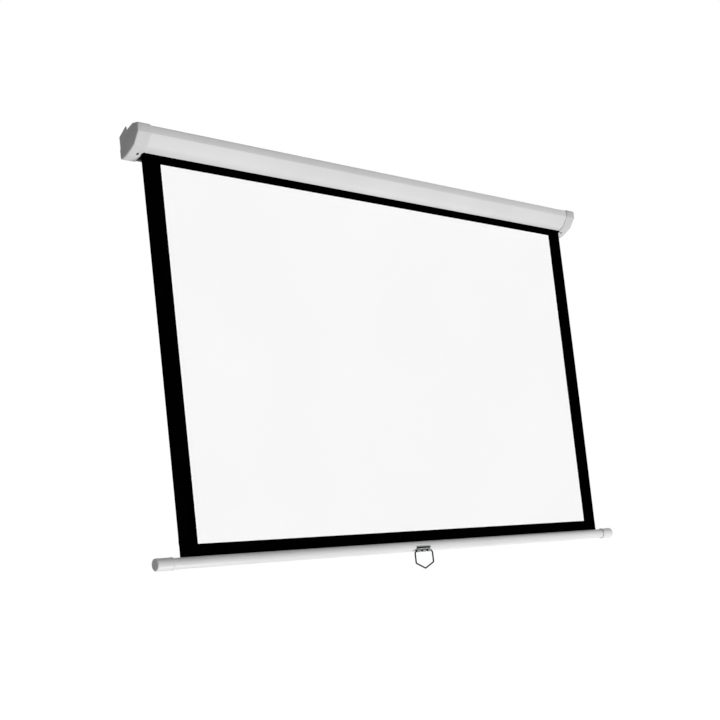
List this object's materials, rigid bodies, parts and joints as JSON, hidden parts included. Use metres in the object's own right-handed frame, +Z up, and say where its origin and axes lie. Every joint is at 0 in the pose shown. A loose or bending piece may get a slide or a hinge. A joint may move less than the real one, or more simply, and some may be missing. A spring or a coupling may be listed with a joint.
{
  "type": "pull-down projector screen",
  "caption": "Pull-down projector screen: spring roller in a faceted wall case, black-bordered white fabric, weighted bottom bar with a hinged pull ring, and keyhole wall brackets.",
  "frame": {"origin": "on the wall plane at the middle of the screen's length, level with the narrow ends of the two hanging slots", "axes": "+X along the case to the right as the viewer sees it, +Y into the wall, +Z up"},
  "size_m": [2.176, 0.0864, 1.2589],
  "materials": {
    "white_coated_steel": "satin white powder coat",
    "white_plastic": "fine moulded texture",
    "zinc_steel": "bright zinc plate",
    "spring_steel": "oiled spring wire",
    "galvanised_steel": "galvanised",
    "chrome": "dark bright chrome",
    "black_acetal": "as moulded",
    "white_screen_fabric": "matt white projection surface with a black border and back",
    "black_screen_fabric": "matt black"
  },
  "bodies": {
    "case": {"case_shell": "white_coated_steel", "left_end_cap": "white_plastic", "right_end_cap": "white_plastic", "left_wall_bracket": "white_coated_steel", "right_wall_bracket": "white_coated_steel", "left_cap_screw": "zinc_steel", "right_cap_screw": "zinc_steel", "left_bracket_screw_1": "zinc_steel", "left_bracket_screw_2": "zinc_steel", "right_bracket_screw_1": "zinc_steel", "right_bracket_screw_2": "zinc_steel", "left_plate_screw_1": "zinc_steel", "left_plate_screw_2": "zinc_steel", "right_plate_screw_1": "zinc_steel", "right_plate_screw_2": "zinc_steel", "spring_end_plate": "galvanised_steel", "idler_end_plate": "galvanised_steel", "idler_bush": "black_acetal", "dead_spindle": "zinc_steel", "ratchet_hub": "zinc_steel", "torsion_spring": "spring_steel", "spring_anchor": "zinc_steel", "screen_fabric": "white_screen_fabric"},
    "roller": {"roller_tube": "galvanised_steel", "wound_fabric": "black_screen_fabric", "pawl_carrier": "black_acetal", "pawl_cover": "galvanised_steel", "pawl_pin_a": "zinc_steel", "pawl_pin_b": "zinc_steel", "idler_plug": "black_acetal"},
    "first_pawl": {"pawl_a": "zinc_steel"},
    "second_pawl": {"pawl_b": "zinc_steel"},
    "bar": {"lower_band": "black_screen_fabric", "hem_rod": "zinc_steel", "bottom_bar": "white_coated_steel", "left_bar_cap": "white_plastic", "right_bar_cap": "white_plastic", "ring_bracket": "chrome", "ring_bracket_screw_left": "zinc_steel", "ring_bracket_screw_right": "zinc_steel"},
    "ring": {"pull_ring": "chrome"}
  },
  "joints": [
    {"name": "screen_travel", "type": "slide", "parent": "case", "child": "bar", "axis": [0, 0, 1], "range_m": [0, 1.0809], "deforming": ["screen_fabric"]},
    {"name": "roller_spin", "type": "hinge", "parent": "case", "child": "roller", "pos_m": [0, -0.0506, 0.001], "axis": [1, 0, 0], "range_deg": [0, 3960]},
    {"name": "pawl_a_swing", "type": "hinge", "parent": "roller", "child": "first_pawl", "pos_m": [-1.0076, -0.0506, 0.0106], "axis": [1, 0, 0], "range_deg": [0, 16]},
    {"name": "pawl_b_swing", "type": "hinge", "parent": "roller", "child": "second_pawl", "pos_m": [-1.0076, -0.0506, -0.0086], "axis": [1, 0, 0], "range_deg": [0, 16]},
    {"name": "ring_swing", "type": "hinge", "parent": "bar", "child": "ring", "pos_m": [0, -0.04702, -1.16322], "axis": [1, 0, 0], "range_deg": [-140, 40]}
  ],
  "couplings": [
    {"joint": "roller_spin", "follows": "screen_travel", "rad_per_m": 63.942}
  ]
}
